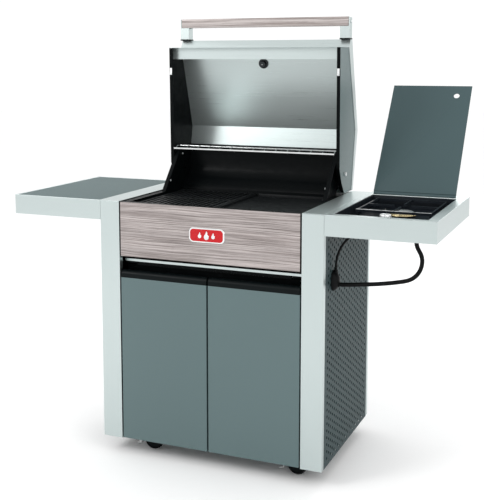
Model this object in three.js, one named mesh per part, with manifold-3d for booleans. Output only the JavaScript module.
// Gas barbecue on a two-door trolley, with a double-skinned hood raised, a flat side shelf on the left
// and a side burner with a lifted lid on the right. Millimetres, +Z up, front towards -Y.
// Heights are measured from the floor; y runs back from the front face of the posts until the
// finished group is centred over its own footprint at the end.
import * as THREE from "three";
import { mergeVertices } from "three/addons/utils/BufferGeometryUtils.js";
import Module from "manifold-3d";

const wasm = await Module();
wasm.setup();

// ---------------------------------------------------------------- driving dimensions
const COUNTER = 920; // worktop height
const INNER = 338.5; // half the clear width between the posts
const POST = 75; // post width
const POST_DEPTH = 22;
const OUTER = INNER + POST; // half the trolley's width
const DEPTH = 566; // trolley, front to back
const SHELF_END = 775; // half the overall width
const SHELF_DEPTH = 584;
const SHELF_DROP = 70; // height of a shelf's side walls
const SKIRT_Z = 57; // underside of the posts
const SHEET = 2; // pressed steel
const THIN = 1.2; // hood steel
const GAP = 0.3; // between pieces that touch

const DOOR_BOTTOM = 60;
const DOOR_TOP = 649;
const DOOR_THICK = 18;
const DOOR_EDGE = INNER - 5; // outer edge of a door
const DOOR_MEET = 3; // half the gap between the doors
const GRIP_TOP = 675;

const FASCIA_BOTTOM = 726;
const FASCIA_TOP = 918;
const KNOB_Z = 795;
const BURNER_X = [-206, 0, 206];
const BURNER_NAMES = ["left", "middle", "right"];

const WALL_X = 312; // outer face of the firebox side walls
const FIREBOX_BOTTOM = 742;
const PLATE_TOP = COUNTER - 12;

const HOOD_HALF = 341.5;
const HOOD_PIVOT = [470, COUNTER + 75]; // y, z
const UPSTAND = 150; // height of the firebox cheeks above the worktop

const WELL = { x0: 436.5, x1: 741.5, y0: 27.6, y1: 508, floor: 874 };
const BURNER_AT = [588, 340]; // side burner, x and y
const LID_PIVOT = [512, COUNTER + 4]; // y, z
const LID_LENGTH = 481.4;
const LID_TOP = -3; // above the pivot when closed
const LID_THICK = 3;
const LID_LEAN = THREE.MathUtils.degToRad(127.1); // turned back from closed

const WHEEL_R = 35;
const WHEEL_TRAIL = 25;
const CASTER_X = 277;
const CASTER_Y = [84, 480];
const BASE_Z = 84;

// ---------------------------------------------------------------- finishes
const finish = (color, roughness, metalness) =>
  new THREE.MeshStandardMaterial({ color, roughness, metalness });
const STAINLESS = finish(0xc9d2d2, 0.35, 0.9);
const GREY_PAINT = finish(0x697f82, 0.45, 0.35);
const DARK_PAINT = finish(0x4b5a5c, 0.5, 0.3);
const BLACK_ENAMEL = finish(0x0b0d0e, 0.4, 0.2);
const CAST_IRON = finish(0x101213, 0.7, 0.4);
const WOOD_LOOK = finish(0xc8bab4, 0.55, 0);
const CHROME = finish(0xd8dcdd, 0.12, 1);
const BRASS = finish(0xb9a878, 0.3, 1);
const BLACK_PLASTIC = finish(0x141617, 0.5, 0);
const RUBBER = finish(0x0d0e0f, 0.8, 0);

// ---------------------------------------------------------------- shape helpers
// A geometry as a manifold-3d solid, for cutting and joining.
function solid(geometry) {
  const bare = geometry.clone();
  bare.deleteAttribute("normal");
  bare.deleteAttribute("uv");
  const merged = mergeVertices(bare, 1e-4);
  const triVerts = new Uint32Array(merged.index.array);
  const vertProperties = new Float32Array(merged.attributes.position.array);
  return new wasm.Manifold(new wasm.Mesh({ numProp: 3, vertProperties, triVerts }));
}

function toGeometry(made) {
  const mesh = made.getMesh();
  const positions = new Float32Array(mesh.numVert * 3);
  for (let i = 0; i < mesh.numVert; i++) {
    const start = i * mesh.numProp;
    positions.set(mesh.vertProperties.subarray(start, start + 3), i * 3);
  }
  const geometry = new THREE.BufferGeometry();
  geometry.setAttribute("position", new THREE.BufferAttribute(positions, 3));
  geometry.setIndex(new THREE.BufferAttribute(mesh.triVerts, 1));
  return geometry;
}

const join = (...pieces) => toGeometry(pieces.map(solid).reduce((a, b) => a.add(b)));
const cut = (body, ...tools) =>
  toGeometry(tools.map(solid).reduce((a, b) => a.subtract(b), solid(body)));

// A box between two corners.
function box(x0, x1, y0, y1, z0, z1) {
  return new THREE.BoxGeometry(x1 - x0, y1 - y0, z1 - z0)
    .translate((x0 + x1) / 2, (y0 + y1) / 2, (z0 + z1) / 2);
}

// A cylinder about `axis` ("x", "y" or "z") centred at `at`.
function rod(axis, at, radius, length, sides = 16) {
  const geometry = new THREE.CylinderGeometry(radius, radius, length, sides);
  if (axis === "x") geometry.rotateZ(Math.PI / 2);
  if (axis === "z") geometry.rotateX(Math.PI / 2);
  return geometry.translate(...at);
}

const outline = (points) => new THREE.Shape(points.map(([a, b]) => new THREE.Vector2(a, b)));
const EXTRUDE = { bevelEnabled: false };

// A (y, z) outline carried from x0 to x1.
function alongX(shape, x0, x1) {
  const turn = new THREE.Matrix4().makeBasis(
    new THREE.Vector3(0, 1, 0), new THREE.Vector3(0, 0, 1), new THREE.Vector3(1, 0, 0));
  return new THREE.ExtrudeGeometry(shape, { ...EXTRUDE, depth: x1 - x0 })
    .applyMatrix4(turn).translate(x0, 0, 0);
}

// An (x, y) outline carried from z0 to z1.
const alongZ = (shape, z0, z1) =>
  new THREE.ExtrudeGeometry(shape, { ...EXTRUDE, depth: z1 - z0 }).translate(0, 0, z0);

// An open line of points made into a closed outline `thick` wide, on the left of its run.
function sheetOutline(points, thick) {
  const line = points.map(([a, b]) => new THREE.Vector2(a, b));
  const normal = (p, q) => new THREE.Vector2(p.y - q.y, q.x - p.x).normalize();
  const offset = line.map((p, i) => {
    const before = i > 0 ? normal(line[i - 1], p) : null;
    const after = i < line.length - 1 ? normal(p, line[i + 1]) : null;
    const mean = (before ?? after).clone().add(after ?? before).normalize();
    return p.clone().addScaledVector(mean, thick / mean.dot(after ?? before));
  });
  return new THREE.Shape([...line, ...offset.reverse()]);
}

// A round tube along a smooth curve through `points`.
function hose(points, radius, steps) {
  const section = new THREE.Shape().absarc(0, 0, radius, 0, 2 * Math.PI);
  const line = points.map((p) => new THREE.Vector3(...p));
  const extrudePath = new THREE.CatmullRomCurve3(line, false, "centripetal");
  return new THREE.ExtrudeGeometry(section, { ...EXTRUDE, steps, extrudePath, curveSegments: 5 });
}

// An open-backed pan: a box with its inside cut away to `wall`, open on the far side of `open`.
function pan([x0, x1, y0, y1, z0, z1], wall, open) {
  const reach = 5;
  const inner = {
    y: [x0 + wall, x1 - wall, y0 + wall, y1 + reach, z0 + wall, z1 - wall],
    up: [x0 + wall, x1 - wall, y0 + wall, y1 - wall, z0 + wall, z1 + reach],
    down: [x0 + wall, x1 - wall, y0 + wall, y1 - wall, z0 - reach, z1 - wall],
  }[open];
  return cut(box(x0, x1, y0, y1, z0, z1), box(...inner));
}

const grill = new THREE.Group();
function part(name, geometry, material, parent = grill) {
  const mesh = new THREE.Mesh(geometry, material);
  mesh.name = name;
  parent.add(mesh);
  return mesh;
}

const SIDES = [["left", -1], ["right", 1]];
const span = (side, near, far) => (side < 0 ? [-far, -near] : [near, far]);

// ---------------------------------------------------------------- trolley
function makeBase() {
  const inner = OUTER - SHEET - 0.6;
  const pressing = pan(
    [-inner, inner, POST_DEPTH + GAP, DEPTH - POST_DEPTH - GAP, BASE_Z - 9, BASE_Z + SHEET], SHEET, "down");
  const holes = SIDES.flatMap(([, side]) =>
    CASTER_Y.map((y) => rod("z", [side * CASTER_X, y, BASE_Z], 5.6, 12)));
  part("base_shelf", cut(pressing, ...holes), DARK_PAINT);
}

function makePost(name, side, rear) {
  const [x0, x1] = span(side, INNER, OUTER);
  const [face, lip] = rear ? [DEPTH, DEPTH - POST_DEPTH] : [0, POST_DEPTH];
  const inset = rear ? -SHEET : SHEET;
  const channel = [[x0, lip], [x0, face], [x1, face], [x1, lip], [x1 - SHEET, lip],
    [x1 - SHEET, face + inset], [x0 + SHEET, face + inset], [x0 + SHEET, lip]];
  part(name, alongZ(outline(channel), SKIRT_Z, COUNTER - SHEET - GAP), STAINLESS);
}

function makeSides() {
  for (const [name, side] of SIDES) {
    const [x0, x1] = span(side, OUTER - SHEET, OUTER);
    const top = COUNTER - SHEET - GAP;
    const hole = rod("x", [side * OUTER, GLAND[1], GLAND[2]], 12, 12);
    const panel = box(x0, x1, POST_DEPTH + GAP, DEPTH - POST_DEPTH - GAP, SKIRT_Z, top);
    part(`side_panel_${name}`, side > 0 ? cut(panel, hole) : panel, DARK_PAINT);
    const [t0, t1] = span(side, INNER, OUTER);
    part(`side_trim_${name}`, box(t0, t1, 0, DEPTH, COUNTER - SHEET, COUNTER), STAINLESS);
  }
}

function makeBack() {
  const vents = [];
  for (const z of [300, 340, 380]) vents.push(box(-120, 120, DEPTH - 10, DEPTH + 5, z, z + 12));
  const sheet = box(-INNER + GAP, INNER - GAP, DEPTH - SHEET, DEPTH, SKIRT_Z, COUNTER - 6);
  part("back_panel", cut(sheet, ...vents), DARK_PAINT);
}

// The cross channel behind the door grips, which stops the doors and closes the cabinet's top.
function makeRecessRail() {
  const edge = INNER - GAP;
  const web = [[80, 638], [58, 638], [58, 686], [80, 686]];
  part("recess_rail", alongX(sheetOutline(web, -SHEET), -edge, edge), BLACK_ENAMEL);
}

// ---------------------------------------------------------------- doors
function makeDoors() {
  for (const [name, side] of SIDES) {
    const [x0, x1] = span(side, DOOR_MEET, DOOR_EDGE);
    const panel = pan([x0, x1, 0, DOOR_THICK, DOOR_BOTTOM, DOOR_TOP], SHEET, "y");
    part(`door_${name}`, panel, GREY_PAINT);
    // A rounded pull along the top edge: a quarter-round nose, hollow behind for the fingers.
    const rise = GRIP_TOP - DOOR_TOP - GAP;
    const nose = 16;
    const wall = 4;
    const foot = DOOR_TOP + GAP;
    const section = new THREE.Shape()
      .moveTo(0, foot)
      .lineTo(0, foot + rise - nose)
      .absarc(nose, foot + rise - nose, nose, Math.PI, Math.PI / 2, true)
      .lineTo(DOOR_THICK, foot + rise)
      .lineTo(DOOR_THICK, foot + rise - wall)
      .lineTo(nose, foot + rise - wall)
      .absarc(nose, foot + rise - nose, nose - wall, Math.PI / 2, Math.PI, false)
      .lineTo(wall, foot + wall)
      .lineTo(DOOR_THICK, foot + wall)
      .lineTo(DOOR_THICK, foot);
    part(`door_grip_${name}`, alongX(section, x0, x1), BLACK_PLASTIC);
  }
}

// ---------------------------------------------------------------- firebox, burners and plates
const UPSTAND_BACK = [[456, -4], [462, 10], [500, 30], [522, 70], [522, UPSTAND]]; // y, above the worktop

function makeFirebox() {
  const back = 456;
  const inside = WALL_X - SHEET;
  const front = 112; // lower front wall; above it the box steps forward under the fascia
  const step = COUNTER - 58;
  const rim = COUNTER - 5;
  const outer = join(
    box(-WALL_X, WALL_X, front, back, FIREBOX_BOTTOM, step + SHEET),
    box(-WALL_X, WALL_X, 24, back, step, rim + SHEET),
    box(-INNER + 2.5, INNER - 2.5, 24, DEPTH - 3, rim, rim + SHEET));
  const hollow = cut(outer,
    box(-inside, inside, front + SHEET, back - SHEET, FIREBOX_BOTTOM + SHEET, step + SHEET + 1),
    box(-inside, inside, 26, back - SHEET, step + SHEET, COUNTER + 20),
    box(-200, 200, 200, 380, FIREBOX_BOTTOM - 5, FIREBOX_BOTTOM + 5),
    ...BURNER_X.map((x) => rod("y", [x, front, KNOB_Z], 13, 12)));
  const plateLedge = PLATE_TOP - 18;
  const ledges = [
    box(-inside - 1, inside + 1, 25, 38, plateLedge, plateLedge + SHEET),
    box(-inside - 1, inside + 1, 440, back - 1, plateLedge, plateLedge + SHEET),
    box(-inside - 1, inside + 1, front + 1, front + 10, 842, 844),
    box(-inside - 1, inside + 1, 444, back - 1, 842, 844),
  ];
  // Cheeks carry the walls up beside the cooking surface, with a narrow flange turned out along the
  // sloping front edge, and hold the hood pivots.
  const up = ([y, z]) => [y, COUNTER + z];
  const cheekLine = [
    [298, -6], [430, UPSTAND], [522, UPSTAND], [522, 70], [500, 30], [462, 10], [455, -6],
  ].map(up);
  const slope = sheetOutline([[298, -4], [430, UPSTAND]].map(up), -SHEET);
  const cheeks = SIDES.flatMap(([, side]) => {
    const pivotHole = rod("x", [side * WALL_X, ...HOOD_PIVOT], 6.5, 12);
    return [
      cut(alongX(outline(cheekLine), ...span(side, inside, WALL_X)), pivotHole),
      alongX(slope, ...span(side, WALL_X - 1, INNER - 13)),
    ];
  });
  const backSheet = alongX(sheetOutline(UPSTAND_BACK.map(up), SHEET), -inside - 1, inside + 1);
  const runners = SIDES.flatMap(([, side]) => [
    box(...span(side, 305, 307), 120, 440, 705, FIREBOX_BOTTOM + 1),
    box(...span(side, 294, 306), 120, 440, 705, 707),
  ]);
  part("firebox", join(hollow, ...ledges, ...cheeks, backSheet, ...runners), BLACK_ENAMEL);
}

function makeControls() {
  const holes = BURNER_X.map((x) => rod("y", [x, 63, KNOB_Z], 4.5, 12));
  const panel = box(-INNER + 2.5, INNER - 2.5, 62, 64, 728, COUNTER - 60);
  part("control_panel", cut(panel, ...holes), STAINLESS);
  const valves = BURNER_X.flatMap((x) => [
    box(x - 12, x + 12, 66.5, 100, 762, KNOB_Z + 12),
    rod("y", [x, 104, KNOB_Z], 5, 10),
  ]);
  part("gas_manifold", join(rod("x", [0, 86, 766], 9, 620), ...valves), BRASS);
}

// A knob as turned, along +Y from its face: skirt, waisted grip and shaft.
function knobProfile(radius, height, shaft) {
  return new THREE.LatheGeometry([
    [0, 0], [radius - 3, 0], [radius - 0.5, 2], [radius, height - 6], [radius + 3, height - 3],
    [radius + 3, height], [3.5, height], [3.5, height + shaft], [0, height + shaft],
  ].map(([r, h]) => new THREE.Vector2(r, h)), 24);
}

function makeBurners() {
  BURNER_X.forEach((x, i) => {
    const name = BURNER_NAMES[i];
    part(`knob_${name}`, knobProfile(20, 30, 7.6).translate(x, 28, KNOB_Z), BLACK_PLASTIC);
    // Cast bar burner with its mixing tube coming forward through the wall to the valve's jet.
    const bar = [
      [x - 20, 800], [x + 20, 800], [x + 20, 816], [x + 10, 826], [x - 10, 826], [x - 20, 816]];
    const body = new THREE.ExtrudeGeometry(outline(bar), { ...EXTRUDE, depth: 300 })
      .rotateX(Math.PI / 2).translate(0, 430, 0);
    const tube = rod("y", [x, 125, KNOB_Z], 10, 30);
    part(`burner_${name}`, join(body, tube, box(x - 12, x + 12, 128, 150, 785, 805)), CAST_IRON);
    const ridge = sheetOutline([[x - 48, 845], [x, 872], [x + 48, 845]], SHEET);
    const tent = new THREE.ExtrudeGeometry(ridge, { ...EXTRUDE, depth: 337 })
      .rotateX(Math.PI / 2).translate(0, 453, 0);
    part(`flame_tamer_${name}`, tent, STAINLESS);
  });
}

function makePlates() {
  const edge = WALL_X - SHEET - 1.5;
  const [y0, y1] = [28, 452];
  const bottom = PLATE_TOP - 15.7;
  const slots = [];
  const pitch = 22;
  for (let x = -edge + 16; x < -20; x += pitch)
    for (const [a, b] of [[y0 + 14, 232], [248, y1 - 14]])
      slots.push(box(x, x + 10, a, b, bottom - 5, PLATE_TOP + 5));
  part("grill_plate", cut(box(-edge, -1.5, y0, y1, bottom, PLATE_TOP), ...slots), CAST_IRON);
  const dished = cut(box(1.5, edge, y0, y1, bottom, PLATE_TOP),
    box(9, edge - 8, y0 + 8, y1 - 8, bottom + 7, PLATE_TOP + 5),
    box(80, 230, y0 + 14, y0 + 24, bottom - 5, PLATE_TOP));
  part("hot_plate", dished, CAST_IRON);
}

function makeRack() {
  const half = 322;
  const base = COUNTER + UPSTAND + 0.5;
  const [yFront, yRear] = [397, 505];
  const pieces = [
    box(-half, half, yFront - 1, yFront + 1, base, base + 8),
    rod("x", [0, yFront, base + 16], 2, 2 * half, 6),
    rod("x", [0, yRear, base + 2], 2, 2 * half, 6),
    rod("x", [0, (yFront + yRear) / 2, base + 2], 2, 2 * half, 6),
  ];
  const cells = 14;
  for (let i = 0; i <= cells; i++) {
    const x = -half + 3 + (i * (2 * half - 6)) / cells;
    pieces.push(box(x - 1.2, x + 1.2, yFront - 0.9, yFront + 0.9, base + 7, base + 16));
    pieces.push(box(x - 1.2, x + 1.2, yFront, yRear, base + 1, base + 3.4));
  }
  part("warming_rack", join(...pieces), CHROME);
}

// The grease tray slides out under the fascia; its bright front lip shows as a strip.
function makeDripTray() {
  const tray = pan([-290, 290, 40, 440, 690, 712], SHEET, "up");
  const flanges = SIDES.map(([, side]) => box(...span(side, 289, 303), 41, 440, 710, 712));
  part("drip_tray", join(tray, ...flanges, box(-INNER + 1, INNER - 1, 38, 41, 695.5, 711.5)), STAINLESS);
}

function makeFascia() {
  const panel = pan([-DOOR_EDGE, DOOR_EDGE, 0, DOOR_THICK, FASCIA_BOTTOM, FASCIA_TOP], 1.5, "y");
  part("fascia_panel", panel, WOOD_LOOK);
}

// ---------------------------------------------------------------- hood
// Drawn closed, with y and z measured from the hinge pin, then swung open a quarter turn.
function makeHood() {
  const hood = new THREE.Group();
  hood.position.set(0, ...HOOD_PIVOT);
  hood.rotation.x = -Math.PI / 2;
  grill.add(hood);
  const [py, pz] = [HOOD_PIVOT[0], HOOD_PIVOT[1] - COUNTER];
  const local = ([y, z]) => [y - py, z - pz]; // from y and height above the worktop
  const nose = [-20, 123];
  const noseTop = [-20, 147];
  const crest = [321, 234];
  const tail = [541, 178];
  const skin = [[8, 4], [8, 109], nose, noseTop, crest, tail, [541, 69]].map(local);
  const liner = [[8.4, 108.4], [317, 204], [536.5, 163]].map(local);
  const flange = [[8.5, 30], [52, 30]].map(local);
  const wedge = [[8, 109], nose, noseTop, crest, tail, [541, 163], [317, 205]].map(local);
  // The dial thermometer stands square to the sloping top, through both skins.
  const slope = Math.atan2(crest[1] - noseTop[1], crest[0] - noseTop[0]);
  const along = 80;
  const dialAt = local([noseTop[0] + along * Math.cos(slope), noseTop[1] + along * Math.sin(slope)]);
  const square = (geometry) => geometry.rotateX(Math.PI / 2 + slope).translate(0, dialAt[0], dialAt[1]);
  const bore = square(rod("y", [0, 0, 0], 6, 160));

  const shell = join(
    alongX(sheetOutline(skin, -THIN), -HOOD_HALF, HOOD_HALF),
    alongX(sheetOutline(liner, -THIN), -HOOD_HALF, HOOD_HALF),
    alongX(sheetOutline(flange, THIN), -338, 338),
    ...SIDES.map(([, side]) =>
      alongX(outline(wedge), ...span(side, HOOD_HALF - THIN, HOOD_HALF))));
  part("hood_shell", cut(shell, bore), STAINLESS, hood);

  const gauge = square(new THREE.LatheGeometry([
    [0, -62], [2.5, -60], [2.5, -52.5], [19, -52.5], [19, -45.5], [5, -45.5], [5, 1],
    [34, 1], [36, 4], [36, 12], [31, 14], [0, 14],
  ].map(([r, h]) => new THREE.Vector2(r, h)), 24));
  part("thermometer", gauge, CHROME, hood);

  const end = [
    [9.8, 4], [447, 11], [498, 36], [538.5, 69], [538.5, 160.8], [317, 201.8], [9.8, 106.5],
  ].map(local);
  const lip = [[9.8, 4], [447, 11], [498, 36], [538.5, 69]].map(local);
  for (const [name, side] of SIDES) {
    const cheek = alongX(outline(end), ...span(side, 338.4, 339.9));
    const turnedLip = alongX(sheetOutline(lip, THIN), ...span(side, 327, 339));
    const pin = rod("x", [side * 323, 0, 0], 6, 33);
    const head = rod("x", [side * 306, 0, 0], 10, 6);
    part(`hood_end_${name}`, join(cheek, turnedLip, pin, head), GREY_PAINT, hood);
  }

  // Wood-look bar between two bright brackets on the nose.
  const [barLow, barHigh] = [107 - pz, 143 - pz];
  const [barOut, barIn] = [-102.3 - py, -68.3 - py];
  const barHalf = HOOD_HALF - 3.5;
  part("handle_bar", box(-barHalf, barHalf, barOut, barIn, barLow, barHigh), WOOD_LOOK, hood);
  for (const [name, side] of SIDES) {
    const foot = nose[0] - GAP - py;
    const stand = box(...span(side, HOOD_HALF - 36, HOOD_HALF), barIn + GAP, foot, barLow, barHigh);
    const cap = box(...span(side, barHalf + GAP, HOOD_HALF), barOut, barIn + 10, barLow, barHigh);
    part(`handle_post_${name}`, join(stand, cap), CHROME, hood);
  }
}

// ---------------------------------------------------------------- side shelves
function makeLeftShelf() {
  const [x0, x1] = [-SHELF_END, -OUTER - GAP];
  const wall = 5;
  const ledge = 12;
  const frame = cut(box(x0, x1, 0, SHELF_DEPTH, COUNTER - SHELF_DROP, COUNTER),
    box(x0 + wall, x1 - wall, wall, SHELF_DEPTH - wall, COUNTER - 6, COUNTER + 5),
    box(x0 + ledge, x1 - ledge, ledge, SHELF_DEPTH - ledge, COUNTER - 10, COUNTER + 5),
    box(x0 + SHEET, x1 - SHEET, SHEET, SHELF_DEPTH - SHEET, COUNTER - SHELF_DROP - 5, COUNTER - 8));
  part("shelf_left_frame", frame, STAINLESS);
  const slack = wall + 0.5;
  const top = [x0 + slack, x1 - slack, slack, SHELF_DEPTH - slack, COUNTER - 5.7, COUNTER - 1];
  part("shelf_left_top", box(...top), GREY_PAINT);
}

function makeRightShelf() {
  const [x0, x1] = [OUTER + GAP, SHELF_END];
  const shell = pan([x0, x1, 0, SHELF_DEPTH, COUNTER - SHELF_DROP, COUNTER], SHEET, "down");
  const opening = box(WELL.x0, WELL.x1, WELL.y0, WELL.y1, COUNTER - 10, COUNTER + 5);
  part("shelf_right_frame", cut(shell, opening), STAINLESS);

  const { floor } = WELL;
  const rim = COUNTER - SHEET - GAP;
  const inset = 1;
  const around = (grow) => [WELL.x0 - grow, WELL.x1 + grow, WELL.y0 - grow, WELL.y1 + grow];
  const tub = pan([...around(-inset), floor, rim], SHEET, "up");
  const rimPlate = cut(box(...around(9), rim - SHEET, rim), box(...around(-2), rim - 10, rim + 5));
  const [bx, by] = BURNER_AT;
  part("side_burner_bowl", cut(join(tub, rimPlate),
    rod("z", [bx, by, floor], 16, 12), rod("z", [KNOB_AT[0], KNOB_AT[1], floor], 4.5, 12)), BLACK_ENAMEL);

  // Trivet: a square frame of flat bar on four legs, with fingers reaching in over the burner.
  const [tx0, tx1, ty0, ty1] = [462, 716, 196, 484];
  const [low, high] = [COUNTER - 16, COUNTER - 8];
  const bar = 6;
  const ring = cut(box(tx0, tx1, ty0, ty1, low, high),
    box(tx0 + bar, tx1 - bar, ty0 + bar, ty1 - bar, low - 5, high + 5));
  const legs = [[tx0, ty0], [tx1 - bar, ty0], [tx0, ty1 - bar], [tx1 - bar, ty1 - bar]]
    .map(([x, y]) => box(x, x + bar, y, y + bar, floor + SHEET + GAP, low + 1));
  const reach = 30;
  const fingers = [
    box(tx0 + 1, bx - reach, by - 3, by + 3, low, high),
    box(bx + reach, tx1 - 1, by - 3, by + 3, low, high),
    box(bx - 3, bx + 3, ty0 + 1, by - reach, low, high),
    box(bx - 3, bx + 3, by + reach, ty1 - 1, low, high),
  ];
  part("side_burner_trivet", join(ring, ...legs, ...fingers), CAST_IRON);

  const deck = floor + SHEET + GAP;
  const head = new THREE.LatheGeometry([
    [0, floor - 15], [13, floor - 15], [13, deck + 1], [46, deck + 1], [50, deck + 4],
    [46, deck + 10], [0, deck + 10],
  ].map(([r, h]) => new THREE.Vector2(r, h)), 24).rotateX(Math.PI / 2).translate(bx, by, 0);
  part("side_burner_head", head, BRASS);
  const cap = new THREE.LatheGeometry([
    [0, deck + 10.3], [38, deck + 10.3], [38, deck + 14], [32, deck + 17], [0, deck + 18],
  ].map(([r, h]) => new THREE.Vector2(r, h)), 24).rotateX(Math.PI / 2).translate(bx, by, 0);
  part("side_burner_cap", cap, CHROME);

  const [kx, ky] = KNOB_AT;
  const pipeZ = floor - 12;
  const [barbX, barbY, hoseTop] = HOSE_ROUTE[0];
  part("side_burner_valve", join(
    box(kx - 11, kx + 11, ky - 13, ky + 13, floor - 22, floor - 5),
    rod("x", [(kx + barbX) / 2, barbY, pipeZ], 5, barbX - kx + 8, 16),
    rod("z", [barbX, barbY, (pipeZ + hoseTop + GAP) / 2], 5, pipeZ - hoseTop - GAP, 16),
    box(kx - 4, kx + 4, barbY - 3, ky, pipeZ - 4, pipeZ + 4),
    rod("y", [kx, (ky + by - 15) / 2, pipeZ], 4, by - 15 - ky, 12)), BRASS);
  const knob = knobProfile(20, 24, 18).rotateX(-Math.PI / 2).translate(kx, ky, COUNTER - 8);
  part("side_burner_knob", knob, CHROME);
}

function makeLid() {
  const lid = new THREE.Group();
  lid.position.set(0, ...LID_PIVOT);
  lid.rotation.x = -LID_LEAN;
  grill.add(lid);
  const [x0, x1] = [WELL.x0 + 2.5, WELL.x1 - 2.5];
  const plate = box(x0, x1, -LID_LENGTH, -8, LID_TOP - LID_THICK, LID_TOP);
  // A hinge barrel runs the whole width, with a leaf from it to the top of the plate.
  const barrel = rod("x", [(x0 + x1) / 2, 0, 0], 3.2, x1 - x0);
  const leaf = join(box(x0, x1, -14, 0, -3.4, -1), box(x0, x1, -16, -9, LID_TOP - 1, -1));
  const fingerHole = rod("z", [x1 - 53, -LID_LENGTH + 45, -5], 11, 12);
  part("side_burner_lid", cut(join(plate, leaf, barrel), fingerHole), GREY_PAINT, lid);
}

// ---------------------------------------------------------------- hose and lead
const GLAND = [OUTER + GAP, 102, 684]; // x, y, z of the boot's centre on the side panel
const KNOB_AT = [580, 130];
const HOSE_R = 7;
const HOSE_ROUTE = [
  [690, 100, 845.7], [690, 100, 838], [691, 100, 826.5], [694.5, 100, 815], [700, 100, 805],
  [705.5, 100, 794.5], [709, 100, 783], [710, 100, 771.5], [707.5, 100, 753.5], [700.5, 100, 736.5],
  [689.5, 100, 722], [675, 100, 711], [658, 100, 704], [630, 101, 697], [596, 101, 690.5],
  [560, 101, 684.8], [524, 102, 680.2], [490, 102, 676.4], [464, 102, 673.6], [450, 102, 672.5],
  [438.3, 102, 672.5],
];
const LEAD_R = 4;
const LEAD_ROUTE = [
  [488, 102, 873.4], [488, 102, 866], [486.6, 102, 856], [482.5, 102, 847], [476.6, 102, 839.5],
  [467, 102, 830.5], [460, 102, 823.7], [453.5, 102, 816.5], [443.3, 102, 801.5], [434.7, 102, 784.7],
  [428.6, 102, 767], [425.3, 102, 751], [424.2, 102, 740], [424, 102, 730], [424, 102, 721.3],
];

function makeHoses() {
  const [gx, gy, gz] = GLAND;
  const bulb = new THREE.SphereGeometry(1, 16, 10).rotateX(Math.PI / 2).scale(24, 24, 35);
  const boot = cut(bulb.translate(gx, gy, gz), box(gx - 60, gx, gy - 60, gy + 60, gz - 60, gz + 60));
  const [hx, , hz] = HOSE_ROUTE.at(-1);
  const [lx, , lz] = LEAD_ROUTE.at(-1);
  const hoseCollar = rod("x", [(gx + 4 + hx - GAP) / 2, gy, hz], HOSE_R + 3.5, hx - GAP - gx - 4);
  const leadCollar = rod("z", [lx, gy, (gz + 15 + lz - GAP) / 2], LEAD_R + 2.5, lz - GAP - gz - 15);
  const spigot = rod("x", [gx - 3, gy, gz], 11, 8);
  part("hose_grommet", join(boot, hoseCollar, leadCollar, spigot), RUBBER);
  part("gas_hose", hose(HOSE_ROUTE, HOSE_R, 30), RUBBER);
  part("ignition_lead", hose(LEAD_ROUTE, LEAD_R, 24), RUBBER);
}

// ---------------------------------------------------------------- casters
function makeCaster(name, x, y) {
  const wheelX = x + WHEEL_TRAIL;
  const top = BASE_Z - GAP;
  const crown = top - 5;
  const stemTop = BASE_Z + SHEET - GAP; // the stem ends flush with the cabinet floor
  const fork = join(
    rod("z", [x, y, top - 2.5], 20, 5),
    rod("z", [x, y, (crown + stemTop) / 2], 5, stemTop - crown),
    box(x - 18, x + 22, y - 17, y + 17, crown - 5, crown + 1),
    ...[-1, 1].map((side) => alongX(outline([[y + side * 17, crown + 1], [y + side * 14, crown + 1],
      [y + side * 14, WHEEL_R - 6], [y + side * 17, WHEEL_R - 6]]), wheelX - 14, wheelX + 6)),
    rod("y", [wheelX, y, WHEEL_R], 4, 34, 16));
  part(`caster_fork_${name}`, fork, BLACK_PLASTIC);
  const tread = new THREE.LatheGeometry([
    [4.5, -11], [31, -11], [WHEEL_R, -7], [WHEEL_R, 7], [31, 11], [4.5, 11], [4.5, -11],
  ].map(([r, h]) => new THREE.Vector2(r, h)), 28).translate(wheelX, y, WHEEL_R);
  part(`caster_wheel_${name}`, tread, RUBBER);
}

function makeCasters() {
  for (const [side, sign] of SIDES)
    CASTER_Y.forEach((y, i) => makeCaster(`${i === 0 ? "front" : "rear"}_${side}`, sign * CASTER_X, y));
}

// ---------------------------------------------------------------- assembly
makeBase();
for (const [name, side] of SIDES) {
  makePost(`post_front_${name}`, side, false);
  makePost(`post_rear_${name}`, side, true);
}
makeSides();
makeBack();
makeRecessRail();
makeDoors();
makeFirebox();
makeControls();
makeBurners();
makePlates();
makeRack();
makeDripTray();
makeFascia();
makeHood();
makeLeftShelf();
makeRightShelf();
makeLid();
makeHoses();
makeCasters();

// The raised burner lid reaches furthest back; half of that depth centres the footprint.
const lidTop = LID_PIVOT[0] - LID_LENGTH * Math.cos(LID_LEAN) + LID_TOP * Math.sin(LID_LEAN);
grill.position.y = -lidTop / 2;

export default grill;
